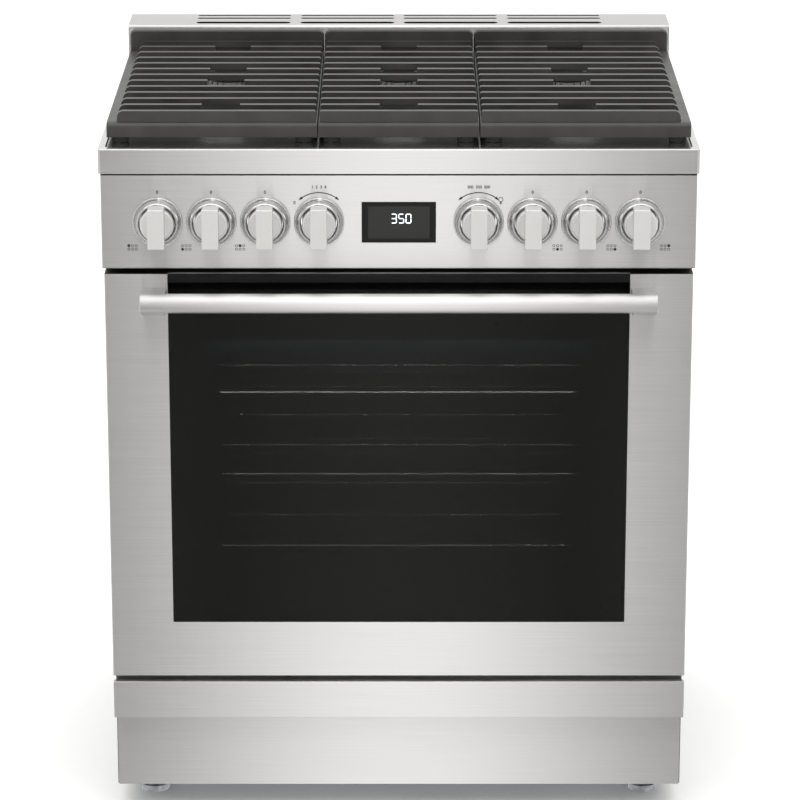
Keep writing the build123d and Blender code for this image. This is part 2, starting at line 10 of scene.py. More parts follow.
import bmesh
import bpy
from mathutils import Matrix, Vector

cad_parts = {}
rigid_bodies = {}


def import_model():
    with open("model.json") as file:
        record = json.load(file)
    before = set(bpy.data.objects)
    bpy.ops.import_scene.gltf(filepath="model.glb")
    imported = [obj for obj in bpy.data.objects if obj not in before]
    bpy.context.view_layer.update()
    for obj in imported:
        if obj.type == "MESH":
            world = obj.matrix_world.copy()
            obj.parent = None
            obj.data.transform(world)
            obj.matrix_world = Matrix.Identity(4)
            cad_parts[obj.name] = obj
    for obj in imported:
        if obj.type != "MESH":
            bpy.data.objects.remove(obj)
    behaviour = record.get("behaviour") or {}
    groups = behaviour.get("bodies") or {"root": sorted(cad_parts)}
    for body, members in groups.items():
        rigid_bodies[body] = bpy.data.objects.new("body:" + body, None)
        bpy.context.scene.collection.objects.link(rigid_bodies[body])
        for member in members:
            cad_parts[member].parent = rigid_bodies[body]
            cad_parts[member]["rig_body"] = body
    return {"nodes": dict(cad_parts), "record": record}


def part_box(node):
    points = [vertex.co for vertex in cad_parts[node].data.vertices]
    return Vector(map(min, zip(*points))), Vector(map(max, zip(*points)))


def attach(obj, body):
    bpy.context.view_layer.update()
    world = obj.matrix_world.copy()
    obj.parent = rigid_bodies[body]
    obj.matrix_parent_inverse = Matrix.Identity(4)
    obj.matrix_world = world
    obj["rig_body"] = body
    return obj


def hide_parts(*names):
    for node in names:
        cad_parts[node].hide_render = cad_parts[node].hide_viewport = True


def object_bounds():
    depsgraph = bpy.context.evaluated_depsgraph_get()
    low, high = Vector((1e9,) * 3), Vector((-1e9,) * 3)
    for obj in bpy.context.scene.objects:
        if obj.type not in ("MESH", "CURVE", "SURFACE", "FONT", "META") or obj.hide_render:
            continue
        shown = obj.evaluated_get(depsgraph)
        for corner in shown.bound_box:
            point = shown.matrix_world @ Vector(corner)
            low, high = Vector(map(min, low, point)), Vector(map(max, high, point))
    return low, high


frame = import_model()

cad_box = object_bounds()
slot_of = {row["node"]: row["material_slot"] for row in frame["record"]["subparts"]}
print("nodes", len(frame["nodes"]))

# %% [markdown]
# Every finish is a small node tree. One function turns an sRGB hex colour to the linear numbers
# that the shader wants, and one adds a node with its settings and links. Patterns are measured
# in millimetres on Object coordinates, so they stay put on a piece.

# %% Colour and node helpers
MM = 0.001


def colour(hex_value):
    """An sRGB hex colour as linear red, green, blue and alpha."""
    parts = [int(hex_value[i:i + 2], 16) / 255 for i in (1, 3, 5)]
    linear = [p / 12.92 if p <= 0.04045 else ((p + 0.055) / 1.055) ** 2.4 for p in parts]
    return (*linear, 1.0)


def add(tree, kind, settings=None, **inputs):
    """A node with its settings; an input is a value or another node's output socket."""
    node = tree.nodes.new(kind)
    for name, value in (settings or {}).items():
        setattr(node, name, value)
    for name, value in inputs.items():
        key = int(name[1:]) if name[0] == "n" and name[1:].isdigit() else name.replace("_", " ")
        if isinstance(value, bpy.types.NodeSocket):
            tree.links.new(value, node.inputs[key])
        else:
            node.inputs[key].default_value = value
    return node


def new_material(name, base, roughness, metallic=0.0, **extra):
    """A material with its shader; returns it with the tree and the shader node."""
    material = bpy.data.materials.new(name)
    material.use_nodes = True
    shader = material.node_tree.nodes["Principled BSDF"]
    shader.inputs["Base Color"].default_value = colour(base)
    shader.inputs["Roughness"].default_value = roughness
    shader.inputs["Metallic"].default_value = metallic
    for key, value in extra.items():
        shader.inputs[key.replace("_", " ")].default_value = value
    return material, material.node_tree, shader


def stretched_noise(tree, size_mm, detail=3.0):
    """Noise whose grains have the given X, Y and Z sizes."""
    place = add(tree, "ShaderNodeTexCoord")
    scale = tuple(1 / (size * MM) for size in size_mm)
    mapping = add(tree, "ShaderNodeMapping", Vector=place.outputs["Object"], Scale=scale)
    return add(tree, "ShaderNodeTexNoise", Vector=mapping.outputs["Vector"], Scale=1.0,
               Detail=detail)


def vary(tree, value, low, high):
    """Spread a 0..1 value over a range."""
    return add(tree, "ShaderNodeMapRange", Value=value, From_Min=0.3, From_Max=0.7,
               To_Min=low, To_Max=high).outputs["Result"]


def tint(tree, value, low_hex, high_hex):
    """Mix two colours by a value."""
    mix = add(tree, "ShaderNodeMix", {"data_type": "RGBA"}, n0=value)
    mix.inputs[6].default_value = colour(low_hex)
    mix.inputs[7].default_value = colour(high_hex)
    return mix.outputs[2]


def bump(tree, shader, height, depth_mm, strength=1.0):
    """Raise the surface by a value times a depth."""
    node = add(tree, "ShaderNodeBump", Height=height, Distance=depth_mm * MM, Strength=strength)
    tree.links.new(node.outputs["Normal"], shader.inputs["Normal"])


# %% [markdown]
# Stainless sheet is brushed along one direction with a fine abrasive belt. The grain runs from
# side to side on the range, so highlights smear up and down. Real grains are a few hundredths
# of a millimetre wide; here they are about a millimetre, as coarse as they need to be to show.
# The deck has a finer, glossier finish. The top of the vent trim gets a darker copy of the
# same steel, which is painted shade.

# %% Metals
def brushed_metal(name, low, high, rough, grain_mm, depth_mm, smear=0.0, metallic=1.0):
    """Belt-brushed metal: streaks in colour, roughness and height; smear stretches gloss."""
    material, tree, shader = new_material(name, high, rough, metallic=metallic,
                                          Anisotropic=smear, Anisotropic_Rotation=0.25)
    grain = stretched_noise(tree, grain_mm).outputs["Fac"]
    tree.links.new(tint(tree, vary(tree, grain, 0, 1), low, high), shader.inputs["Base Color"])
    tree.links.new(vary(tree, grain, rough - 0.02, rough + 0.03), shader.inputs["Roughness"])
    bump(tree, shader, grain, depth_mm, 0.35)
    if smear:                       # the grain runs a hair off X, so it never meets a normal
        along = add(tree, "ShaderNodeVectorTransform",
                    {"vector_type": "VECTOR", "convert_from": "OBJECT", "convert_to": "WORLD"},
                    Vector=(1.0, 0.02, 0.01))
        tree.links.new(along.outputs["Vector"], shader.inputs["Tangent"])
    return material


materials = {}
materials["brushed_stainless"] = brushed_metal(
    "brushed_stainless_sheet", "#c6c5c4", "#cecdcc", 0.30, (120, 60, 1.1), 0.005, 1.0)
materials["polished_stainless"] = brushed_metal(
    "satin_stainless_deck", "#d4d4d3", "#e0e0df", 0.19, (90, 1.2, 1.2), 0.004)
# the same brushed steel made darker for the vent trim's top: painted shade
materials["coarse_stainless"] = brushed_metal(
    "painted_shade_top_stainless", "#aeadac", "#b8b7b6", 0.30, (120, 1.1, 60), 0.005, 1.0)
materials["satin_knob_metal"] = brushed_metal(
    "bead_blasted_knob_metal", "#d3d2d0", "#dad9d7", 0.34, (0.7, 0.7, 0.7), 0.0006,
    metallic=0.5)                   # a full metal looks too dark and speckled here
materials["polished_trim"] = brushed_metal(
    "polished_bezel_metal", "#cdcdcc", "#d8d8d7", 0.09, (6, 6, 6), 0.002)
materials["rack_chrome"] = brushed_metal(
    "nickel_plated_wire", "#c4c3c0", "#d3d2cf", 0.18, (4, 4, 4), 0.004)
materials["burner_aluminium"] = brushed_metal(
    "cast_aluminium", "#aaa9a6", "#bdbcb9", 0.42, (1.5, 1.5, 1.5), 0.05)
materials["brass_fittings"] = brushed_metal(
    "turned_brass", "#c79a4e", "#d7ae62", 0.30, (3, 3, 3), 0.01)
print("metals", sorted(materials))

# %% [markdown]
# Galvanised sheet shows zinc crystals ten millimetres or so across, each turned its own way, so
# each catches the light a little differently. A Voronoi pattern with one grey per cell does it.

# %% Galvanised sheet
material, tree, shader = new_material("galvanised_sheet", "#9fa2a5", 0.38, metallic=1.0)
place = add(tree, "ShaderNodeTexCoord")
crystals = add(tree, "ShaderNodeTexVoronoi", Vector=place.outputs["Object"], Scale=1 / (11 * MM))
shade = add(tree, "ShaderNodeSeparateColor", Color=crystals.outputs["Color"])
tree.links.new(tint(tree, shade.outputs[0], "#8d9093", "#b0b3b6"), shader.inputs["Base Color"])
tree.links.new(vary(tree, shade.outputs[1], 0.30, 0.48), shader.inputs["Roughness"])
materials["galvanised_sheet"] = material
print("galvanised nodes", len(tree.nodes))

# %% [markdown]
# Cast iron grates are dipped in a matt porcelain enamel. The casting's grain stays in it: a
# grit of about a millimetre, and wider soft patches where the enamel lies thicker.

# %% Enamels, paint and iron


def coated(name, low, high, rough, grit_mm, depth_mm, patch_mm=40, **extra):
    """A coat over metal: grit in the height, soft patches in colour and roughness."""
    material, tree, shader = new_material(name, high, rough, **extra)
    grit = stretched_noise(tree, (grit_mm,) * 3, 4.0).outputs["Fac"]
    patch = stretched_noise(tree, (patch_mm,) * 3, 2.0).outputs["Fac"]
    tree.links.new(tint(tree, vary(tree, patch, 0, 1), low, high), shader.inputs["Base Color"])
    tree.links.new(vary(tree, patch, rough - 0.05, rough + 0.06), shader.inputs["Roughness"])
    bump(tree, shader, grit, depth_mm, 0.5)
    return material


materials["cast_iron"] = coated("enamelled_cast_iron", "#343332", "#3e3d3c", 0.38, 1.6, 0.08,
                                Specular_IOR_Level=0.5)
materials["grey_body_paint"] = coated("powder_coated_sheet", "#6f7073", "#76777a", 0.45, 1.4, 0.03)
materials["oven_enamel"] = coated("speckled_oven_enamel", "#101114", "#17191d", 0.22, 2.5, 0.02)
materials["black_enamel"] = coated("black_enamel", "#121212", "#1a1a19", 0.36, 1.8, 0.03)
materials["black_plastic"] = coated("moulded_black_plastic", "#151515", "#1b1b1b", 0.5, 0.9, 0.03)
materials["black_rubber"] = coated("moulded_black_rubber", "#0b0b0b", "#121212", 0.75, 0.8, 0.04)
materials["white_ceramic"] = coated("glazed_ceramic", "#dfdcd3", "#ebe8e0", 0.18, 2.0, 0.01)
materials["door_seal"] = coated("braided_glass_fibre", "#2a2a2b", "#3d3d3e", 0.9, 1.2, 0.3)
materials["mineral_wool"] = coated("mineral_wool", "#a3925f", "#c2b282", 0.95, 3.0, 0.8, 15)
materials["circuit_board"] = coated("solder_mask", "#0d3f22", "#14532e", 0.35, 3.0, 0.02)
materials["printed_ink"] = coated("printed_black_ink", "#1c1c1c", "#262626", 0.5, 0.7, 0.005)
print("coats", len(materials))

# %% [markdown]
# The door's outer pane is smoked glass: nearly black, with a little light coming through from
# the oven behind it. Alpha below 1 on a black gloss shader gives that at no cost in noise. Black
# ceramic print on the glass hides the door's frame: a solid band along the top with a greyer
# strip above it, and fine lines that fade in towards both sides.

# %% Glass


def glass(name, tone, alpha, rough=0.04):
    """Gloss glass; its wipe marks are a few centimetres across."""
    material, tree, shader = new_material(name, tone, rough, IOR=1.5, Alpha=alpha,
                                          Specular_IOR_Level=0.08)
    wipe = stretched_noise(tree, (60, 60, 25), 2.0).outputs["Fac"]
    tree.links.new(vary(tree, wipe, rough, rough + 0.03), shader.inputs["Roughness"])
    return material


materials["black_glass"] = glass("smoked_door_glass", "#171716", 0.74)
materials["clear_glass"] = glass("clear_inner_glass", "#20262a", 0.25)
materials["display_glass"] = glass("display_window", "#1b1b1b", 1.0, 0.12)
print("glass", [name for name in materials if "glass" in name])

# %% Ceramic print on the door glass
line_pitch_mm, line_zone_mm, glass_edge_mm = 3.6, 70, 5
band_mm, lip_mm = 34, 11
wave_turn = 0.314                   # a wave texture repeats every 0.314 / Scale metres
pane_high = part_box("door_outer_glass")[1]
tree = materials["black_glass"].node_tree
spot = add(tree, "ShaderNodeTexCoord")
axes = add(tree, "ShaderNodeSeparateXYZ", Vector=spot.outputs["Object"])
lines = add(tree, "ShaderNodeTexWave", {"bands_direction": "Z"}, Vector=spot.outputs["Object"],
            Scale=wave_turn / (line_pitch_mm * MM))
side = add(tree, "ShaderNodeMath", {"operation": "ABSOLUTE"}, n0=axes.outputs["X"])
edge = add(tree, "ShaderNodeMapRange", Value=side.outputs["Value"],
           From_Min=pane_high.x - line_zone_mm * MM, From_Max=pane_high.x - glass_edge_mm * MM)
screen = add(tree, "ShaderNodeMath", {"operation": "MULTIPLY"}, n0=lines.outputs["Fac"],
             n1=edge.outputs["Result"])
glass_tone = tint(tree, screen.outputs["Value"], "#171716", "#232322")
for height_mm, hex_value in ((band_mm, "#060606"), (lip_mm, "#232424")):
    above = add(tree, "ShaderNodeMath", {"operation": "GREATER_THAN"}, n0=axes.outputs["Z"],
                n1=pane_high.z - height_mm * MM)
    glass_tone = add(tree, "ShaderNodeMix", {"data_type": "RGBA"}, n0=above.outputs["Value"],
                     n6=glass_tone, n7=colour(hex_value)).outputs[2]
tree.links.new(glass_tone, tree.nodes["Principled BSDF"].inputs["Base Color"])

# %% The clock's light
glow, tree, shader = new_material("display_digit_light", "#e8eef2", 0.4)
shader.inputs["Emission Color"].default_value = colour("#f2f6fa")
shader.inputs["Emission Strength"].default_value = 1.1
materials["digit_light"] = glow

# %% [markdown]
# Folded sheet and castings never have knife edges. Each CAD body is copied, its loose triangles
# are merged and joined into flat faces, and a Bevel modifier rounds the sharp edges. Weighted
# normals then keep the large faces flat in the gloss. The front rail of a grate is cast with a
# rolled upper edge, so that edge gets a wider bevel of its own first.

# %% Piece helpers


def deselect():
    """Nothing selected, nothing active."""
    if bpy.context.object and bpy.context.object.mode != "OBJECT":
        bpy.ops.object.mode_set(mode="OBJECT")
    bpy.ops.object.select_all(action="DESELECT")


def activate(piece):
    """Make one object the only selected and active one."""
    deselect()
    piece.select_set(True)
    bpy.context.view_layer.objects.active = piece


def apply_all(piece):
    """Apply every modifier, in order."""
    activate(piece)
    for modifier in list(piece.modifiers):
        bpy.ops.object.modifier_apply(modifier=modifier.name)


def join(pieces):
    """Join pieces into the first of them."""
    deselect()
    for piece in pieces:
        piece.select_set(True)
    bpy.context.view_layer.objects.active = pieces[0]
    bpy.ops.object.join()
    return bpy.context.object


def soften(piece, width_mm, segments=2, angle=35):
    """Round the sharp edges and shade the result smooth between creases."""
    bevel = piece.modifiers.new("edge_radius", "BEVEL")
    bevel.width = width_mm * MM
    bevel.segments = segments
    bevel.limit_method = "ANGLE"
    bevel.angle_limit = radians(angle)
    apply_all(piece)
    bpy.ops.object.shade_smooth_by_angle(angle=radians(angle))
    flatten = piece.modifiers.new("flat_faces", "WEIGHTED_NORMAL")
    flatten.keep_sharp = True
    flatten.weight = 100
    apply_all(piece)


def settle(piece, name, finish, body, slot, *stands_for):
    """Put the piece's place in its mesh, name it, give it its finish, join it to its body and hide
    the CAD nodes it stands for.
    """
    activate(piece)
    bpy.ops.object.transform_apply(location=True, rotation=True, scale=True)
    piece.name = name
    piece.data.materials.clear()
    piece.data.materials.append(materials[finish])
    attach(piece, body)
    if stands_for:
        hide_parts(*stands_for)
    return piece


def roll_front_rail(piece, low):
    """Round the upper front edge of a grate's front rail, some 26 mm over its feet."""
    edge_low, edge_high, roll_mm = low.z + 20 * MM, low.z + 30 * MM, 6.5
    bpy.ops.mesh.select_all(action="DESELECT")
    bpy.ops.mesh.select_mode(type="EDGE")
    bm = bmesh.from_edit_mesh(piece.data)
    for edge in bm.edges:
        edge.select = all(v.co.y < low.y + 0.5 * MM and edge_low < v.co.z < edge_high
                          for v in edge.verts)
    bmesh.update_edit_mesh(piece.data)
    bpy.ops.mesh.bevel(offset=roll_mm * MM, segments=5)


def rounded_copy(node, width_mm, finish=None, segments=2):
    """A CAD node's mesh with merged faces and rounded edges, in the node's place."""
    source = frame["nodes"][node]
    piece = bpy.data.objects.new(node + "_rounded", source.data.copy())
    bpy.context.scene.collection.objects.link(piece)
    activate(piece)
    bpy.ops.object.mode_set(mode="EDIT")
    bpy.ops.mesh.select_all(action="SELECT")
    bpy.ops.mesh.remove_doubles(threshold=0.00001)
    bpy.ops.mesh.dissolve_limited(angle_limit=radians(0.5))
    if node.startswith("grate_"):
        roll_front_rail(piece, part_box(node)[0])
    bpy.ops.object.mode_set(mode="OBJECT")
    soften(piece, width_mm, segments)
    slot = slot_of[node]
    return settle(piece, node + "_rounded", finish or slot, source["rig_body"], slot, node)


# %% [markdown]
# Sheet pieces get an edge radius of about half a millimetre, the grates and the handle posts one
# and a half. The pieces could be modelled again from nothing, but the CAD bodies already have the
# right shape, and only their edges and faces lack the finish.

# %% Round the visible CAD pieces
edge_radius = {
    "grate_left": 1.6, "grate_centre": 1.6, "grate_right": 1.6, "cooktop": 0.4,
    "rear_vent_trim": 0.5, "kick_panel": 0.5, "side_panel_left": 0.5, "side_panel_right": 0.5,
    "handle_posts": 1.5, "burner_caps": 0.8, "burner_bases": 0.5, "door_skin": 0.5,
    "lower_trim": 0.5, "control_panel": 0.4,
}
for node, width in edge_radius.items():
    piece = rounded_copy(node, width)
    print(node, len(piece.data.polygons), "faces")

# %% The cooktop's front and end faces are brushed, its deck is smoother
deck = bpy.data.objects["cooktop_rounded"]
deck.data.materials.append(materials["brushed_stainless"])
deck_low, deck_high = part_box("cooktop")
for face in deck.data.polygons:
    edge_face = face.center.y < deck_low.y + 3 * MM or abs(face.center.x) > deck_high.x - 3 * MM
    face.material_index = 1 if edge_face else 0
print("brushed faces", sum(face.material_index for face in deck.data.polygons))

# %% The door skin's top faces get black enamel, a painted shade, so the gap over the door looks dark
skin = bpy.data.objects["door_skin_rounded"]
skin.data.materials.append(materials["black_enamel"])
skin_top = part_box("door_skin")[1].z
for face in skin.data.polygons:
    # upward faces at the top painted black: painted shade for the gap over the door
    upward = face.normal.z > 0.7 and face.center.z > skin_top - 3 * MM
    face.material_index = 1 if upward else 0
print("blackened faces", sum(face.material_index for face in skin.data.polygons))

# %% The remaining CAD nodes keep their mesh and get a real finish
for node, source in frame["nodes"].items():
    if not source.hide_render:
        source.data.materials.clear()
        source.data.materials.append(materials[slot_of[node]])
        activate(source)
        bpy.ops.object.shade_smooth_by_angle(angle=radians(30))
        print("finish", node, slot_of[node])

# %% [markdown]
# A knob and its bezel are turned parts: a disc is extruded outwards again and again, and each
# new ring is scaled to the next radius, as a lathe would cut it. Spinning an outline would give
# the same shape; this way each step of the profile can be read as a radius and a height.

# %% Turned pieces


def turned(name, centre, profile, segments=72):
    """Build a turned piece facing the user from (radius, distance out) pairs in mm."""
    deselect()
    start_radius, start_out = profile[0]
    bpy.ops.mesh.primitive_circle_add(
        vertices=segments, radius=start_radius * MM, fill_type="NGON",
        location=(centre.x, centre.y - start_out * MM, centre.z), rotation=(pi / 2, 0, 0))
    piece = bpy.context.object
    bpy.ops.object.mode_set(mode="EDIT")
    bpy.ops.mesh.select_all(action="SELECT")
    for (old_radius, old_out), (radius, out) in zip(profile, profile[1:]):
        bpy.ops.mesh.extrude_region_move(
            TRANSFORM_OT_translate={"value": (0, -(out - old_out) * MM, 0)})
        ratio = radius / old_radius
        bpy.ops.transform.resize(value=(ratio, 1, ratio))
    bpy.ops.mesh.select_all(action="SELECT")
    bpy.ops.mesh.normals_make_consistent(inside=False)
    bpy.ops.object.mode_set(mode="OBJECT")
    piece.name = name
    return piece


def middle(node):
    """Centre of a CAD node's box."""
    low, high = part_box(node)
    return (low + high) / 2


def copy_to(piece, name, offset):
    """A copy with its own mesh, moved by an offset in its mesh."""
    twin = piece.copy()
    twin.data = piece.data.copy()
    twin.name = name
    bpy.context.scene.collection.objects.link(twin)
    for vertex in twin.data.vertices:
        vertex.co += offset
    return twin


panel_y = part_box("control_panel")[0].y
knob_nodes = sorted((n for n in frame["nodes"] if n.startswith("knob_") and n != "knob_bezels"),
                    key=lambda n: middle(n).x)
first = Vector((middle(knob_nodes[0]).x, panel_y, middle(knob_nodes[0]).z))
print("first knob at", first)

# %% [markdown]
# All eight knobs are the same casting: a round skirt, a shallow groove, a flat face and a bar to
# grip, which stands on the face and hangs a little below it. One is modelled and then copied.

# %% The first knob: skirt, groove and face, with a bar grip on it
skirt = turned("knob", first, [(16, 6.2), (21.5, 6.2), (21.5, 19.5), (21.1, 20.6), (20.2, 21.6),
                               (19.2, 21.9), (18.9, 21.6), (18.6, 22.4), (18.2, 23.8)])
soften(skirt, 0.4)
deselect()
grip_wide, grip_tall, grip_middle_out, grip_out, grip_corner = 21, 51, 31, 44, 4.2
bpy.ops.mesh.primitive_cube_add(
    size=1, location=(first.x, panel_y - grip_middle_out * MM, first.z),
    scale=(grip_wide * MM, 2 * (grip_out - grip_middle_out) * MM, grip_tall * MM))
grip = bpy.context.object
bpy.ops.object.mode_set(mode="EDIT")
bpy.ops.mesh.select_all(action="DESELECT")
bm = bmesh.from_edit_mesh(grip.data)
for edge in bm.edges:                # the four edges along Y; the cube is still of unit size
    ends = [v.co for v in edge.verts]
    edge.select = abs(ends[0].y - ends[1].y) > 0.5
bmesh.update_edit_mesh(grip.data)
bpy.ops.mesh.bevel(offset=grip_corner * MM, segments=5)
bpy.ops.object.mode_set(mode="OBJECT")
activate(grip)
bpy.ops.object.transform_apply(location=True, rotation=True, scale=True)
soften(grip, 1.0, 3)
knob_master = join([skirt, grip])
bpy.ops.object.transform_apply(location=True, rotation=True, scale=True)
print("knob faces", len(knob_master.data.polygons))

# %% Eight knobs, one on each CAD knob
for node in knob_nodes:
    offset = Vector((middle(node).x - first.x, 0, 0))
    twin = copy_to(knob_master, node + "_turned", offset)
    settle(twin, node + "_turned", "satin_knob_metal", frame["nodes"][node]["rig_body"],
           "satin_knob_metal", node)
bpy.data.objects.remove(knob_master)
print("knobs", len(knob_nodes))

# %% [markdown]
# Each bezel is a bright ring with a rolled lip, a cone that rises inwards, and a well for the
# knob's skirt.

# %% Bezels
ring = turned("bezel", first, [(31.4, 0.05), (31.9, 0.6), (31.9, 3.4), (31.3, 4.0), (30.2, 4.0),
                               (29.6, 3.4), (29.3, 4.2), (28.7, 8), (27.5, 11), (26.2, 13.3),
                               (25.3, 13.9), (24.4, 13.8), (23.6, 13.2), (23.2, 12), (23, 10),
                               (23, 2.2), (8, 2.2)])
soften(ring, 0.3)
bpy.ops.object.transform_apply(location=True, rotation=True, scale=True)
rings = [copy_to(ring, "bezel", Vector((middle(n).x - first.x, 0, 0))) for n in knob_nodes]
bpy.data.objects.remove(ring)
settle(join(rings), "bezel_rings", "polished_trim", "range_body", "polished_trim",
       "knob_bezels")
print("bezels", len(rings))

# %% [markdown]
# The handle is a round steel bar with small rounded edges at its ends. A curve with a round bevel
# could make it too, but a cylinder is exact, and its ends take a real edge radius.

# %% Handle bar
low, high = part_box("handle_bar")
handle_centre, handle_r = (low + high) / 2, (high.z - low.z) / 2
deselect()
bpy.ops.mesh.primitive_cylinder_add(vertices=96, radius=handle_r, depth=high.x - low.x,
                                    location=handle_centre, rotation=(0, pi / 2, 0))
bar = bpy.context.object
soften(bar, 1.4, 3)
settle(bar, "handle_tube", "brushed_stainless", "door", "brushed_stainless", "handle_bar")
print("handle radius", handle_r)

# %% [markdown]
# The door's outer pane is one sheet of smoked glass with ground edges: a box with rounded edges.
# All that is printed on it is in its material.

# %% Door pane
low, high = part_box("door_outer_glass")
deselect()
bpy.ops.mesh.primitive_cube_add(size=1, location=(low + high) / 2, scale=high - low)
pane = bpy.context.object
bpy.ops.object.transform_apply(location=False, rotation=False, scale=True)
soften(pane, 0.8, 3)
settle(pane, "door_pane", "black_glass", "door", "black_glass", "door_outer_glass")
print("pane", high - low)

# %% [markdown]
# The clock's digits are made of up to seven short lit bars each, so they are built the same way:
# one small rounded box for each bar that is lit.

# %% Display
display_low, display_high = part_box("display_lens")
display_y = display_low.y
display_mid = (display_low + display_high) / 2
SEGMENTS = {"0": "abcdef", "3": "abcdg", "5": "acdfg"}
digit_high, digit_wide, digit_pitch = 11.5 * MM, 6.2 * MM, 9.2 * MM
digits_right, digits_up = 3 * MM, 5 * MM
bar_wide, bar_deep, bar_fill = 1.25 * MM, 0.3 * MM, 0.86
BARS = {"a": (0, 1, True), "g": (0, 0, True), "d": (0, -1, True), "b": (1, 0.5, False),
        "c": (1, -0.5, False), "e": (-1, -0.5, False), "f": (-1, 0.5, False)}


def light_bar(x, z, flat):
    """One lit bar of a digit."""
    deselect()
    length = (digit_wide if flat else digit_high / 2) * bar_fill
    size = (length, bar_deep, bar_wide) if flat else (bar_wide, bar_deep, length)
    bpy.ops.mesh.primitive_cube_add(size=1, location=(x, display_y - 0.1 * MM, z), scale=size)
    bar = bpy.context.object
    bpy.ops.object.transform_apply(location=True, rotation=True, scale=True)
    soften(bar, 0.4, 1)
    return bar


bars = []
for place_index, digit in enumerate("350"):
    centre_x = display_mid.x + (place_index - 1) * digit_pitch + digits_right
    for letter in SEGMENTS[digit]:
        side, level, flat = BARS[letter]
        bars.append(light_bar(centre_x + side * digit_wide / 2,
                              display_mid.z + digits_up + level * digit_high / 2, flat))
settle(join(bars), "display_digits", "digit_light", "range_body", "black_glass")
print("lit bars", len(bars))

# %% A lighter field inside the clock's dark border
frame["nodes"]["display_lens"].data.materials[0] = materials["display_glass"]
tree = materials["display_glass"].node_tree
spot = add(tree, "ShaderNodeTexCoord")
moved = add(tree, "ShaderNodeMapping", Vector=spot.outputs["Object"],
            Location=(-display_mid.x, 0, -display_mid.z))
axes = add(tree, "ShaderNodeSeparateXYZ", Vector=moved.outputs["Vector"])
inside = []
for axis, half_mm in (("X", 38.5), ("Z", 20.5)):
    away = add(tree, "ShaderNodeMath", {"operation": "ABSOLUTE"}, n0=axes.outputs[axis])
    near = add(tree, "ShaderNodeMapRange", Value=away.outputs["Value"], From_Min=half_mm * MM,
               From_Max=(half_mm + 1.0) * MM, To_Min=1.0, To_Max=0.0)
    inside.append(near.outputs["Result"])
both = add(tree, "ShaderNodeMath", {"operation": "MULTIPLY"}, n0=inside[0], n1=inside[1])
tree.links.new(tint(tree, both.outputs["Value"], "#1a1a1a", "#313130"),
               tree.nodes["Principled BSDF"].inputs["Base Color"])

# %% [markdown]
# Printed marks on the panel are thin raised ink: a 0 for the off position over each burner knob,
# a six-dot map of the hob beside it, and arcs with arrow heads and a few plain numbers over the
# two oven knobs.

# %% Printed marks
ink_y = panel_y - 0.12 * MM
ink_pieces = []


def ink(piece):
    """Keep a finished mark for joining."""
    activate(piece)
    bpy.ops.object.transform_apply(location=True, rotation=True, scale=True)
    ink_pieces.append(piece)


def printed_numbers(text, x, z, height_mm):
    """Numbers printed on the panel."""
    deselect()
    bpy.ops.object.text_add(location=(x, ink_y, z), rotation=(pi / 2, 0, 0))
    text_data = bpy.context.object.data
    text_data.body = text
    text_data.size = height_mm * MM * 1.4
    text_data.align_x = "CENTER"
    text_data.extrude = 0.05 * MM
    text_data.offset = 0.12 * MM
    bpy.ops.object.convert(target="MESH")
    ink(bpy.context.object)


def printed_ring(x, z, outer_mm, inner_mm, start=0.0, sweep=360.0):
    """A printed ring or arc; an inner radius of 0 makes a dot."""
    deselect()
    steps = max(12, int(sweep / 8))
    bpy.ops.mesh.primitive_circle_add(vertices=3, radius=0.001, location=(0, 0, 0))
    piece = bpy.context.object       # its mesh is filled anew below
    bm = bmesh.new()
    turns = [radians(start + sweep * i / steps) for i in range(steps + 1)]
    rings = [[bm.verts.new((x + r * MM * cos(t), ink_y, z + r * MM * sin(t))) for t in turns]
             for r in (outer_mm, max(inner_mm, 0.01))]
    for i in range(steps):
        bm.faces.new((rings[0][i], rings[0][i + 1], rings[1][i + 1], rings[1][i]))
    bmesh.ops.recalc_face_normals(bm, faces=bm.faces)
    bm.to_mesh(piece.data)
    bm.free()
    ink(piece)


def arrow_head(x, z, aim_deg, length_mm):
    """A printed triangle whose tip points along an angle in the panel."""
    deselect()
    bpy.ops.mesh.primitive_circle_add(vertices=3, radius=length_mm * MM, fill_type="NGON",
                                      location=(0, 0, 0), rotation=(0, 0, 0))
    head = bpy.context.object
    for vertex, turn in zip(head.data.vertices, (0, 145, 215)):
        t = radians(aim_deg + turn)
        vertex.co = (x + length_mm * MM * cos(t), ink_y, z + length_mm * MM * sin(t))
    ink(head)


def oven_marks(node, x):
    """The arc, arrow heads and numbers round an oven knob; the right one has a lamp sign too."""
    arc_r, start, sweep = 38.0, 52, 76
    printed_ring(x, knob_z, arc_r + 0.6, arc_r - 0.6, start, sweep)
    for turn, aim in ((start, start - 90), (start + sweep, start + sweep + 90)):
        t = radians(turn)
        arrow_head(x + arc_r * MM * cos(t), knob_z + arc_r * MM * sin(t), aim, 3.2)
    scale_text = "1  2  3  4" if "mode" in node else "200  350  500"
    printed_numbers(scale_text, x, knob_z + 43.5 * MM, 3.7)
    if "mode" in node:
        printed_numbers("0", x - 31 * MM, knob_z + 23 * MM, 4.0)
    else:
        printed_ring(x + 28 * MM, knob_z + 29 * MM, 3.2, 2.4)
        printed_ring(x + 28 * MM, knob_z + 24.4 * MM, 1.3, 0.0)


